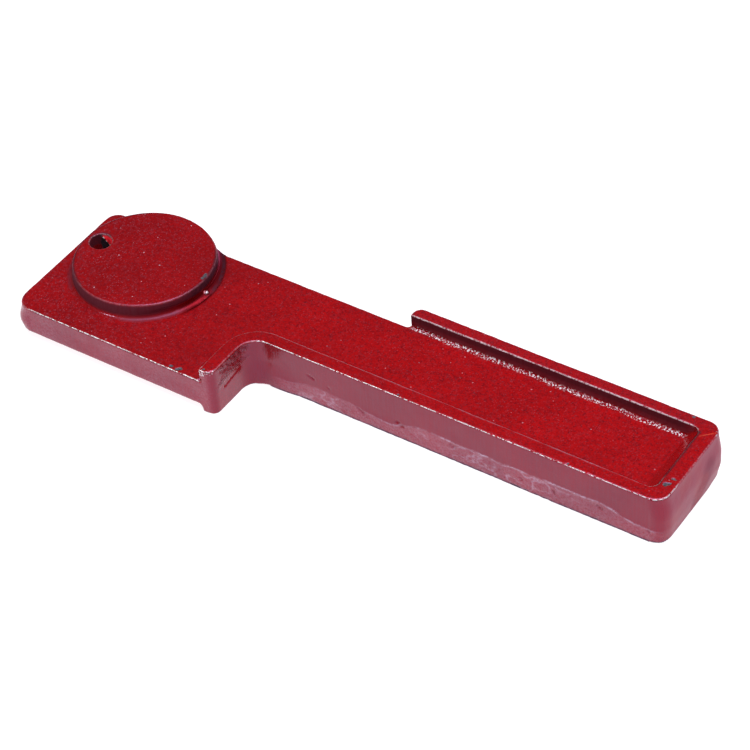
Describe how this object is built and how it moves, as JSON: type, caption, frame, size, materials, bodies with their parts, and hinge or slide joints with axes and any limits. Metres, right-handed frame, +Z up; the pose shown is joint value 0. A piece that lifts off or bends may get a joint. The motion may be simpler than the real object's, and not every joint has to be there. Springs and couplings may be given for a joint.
{
  "type": "hydrant wrench",
  "caption": "Flat cast wrench with a closed round boss over a pentagon socket, a hook at the head's corner and a rimmed handle.",
  "frame": {"origin": "on the socket's axis, at its mouth, on the plane the wrench lies on", "axes": "+X along the handle away from the head, +Y across towards the far rail, +Z up from the resting plane through the closed boss"},
  "size_m": [0.33, 0.0853, 0.0262],
  "materials": {
    "red_enamel": "gloss red enamel over sand-cast iron, worn at the edges",
    "soft_steel": "zinc-plated soft steel",
    "nickel_plate": "nickel plated magnet",
    "brass": "turned brass",
    "black_rubber": "smooth nitrile rubber",
    "stainless": "turned stainless steel"
  },
  "bodies": {
    "root": {"wrench_casting": "red_enamel", "magnet_cup": "soft_steel", "ring_magnet": "nickel_plate", "magnet_spacer": "brass", "centre_bush": "brass", "cover_seal": "black_rubber", "magnet_cover": "stainless", "cover_screw": "stainless"}
  },
  "joints": []
}
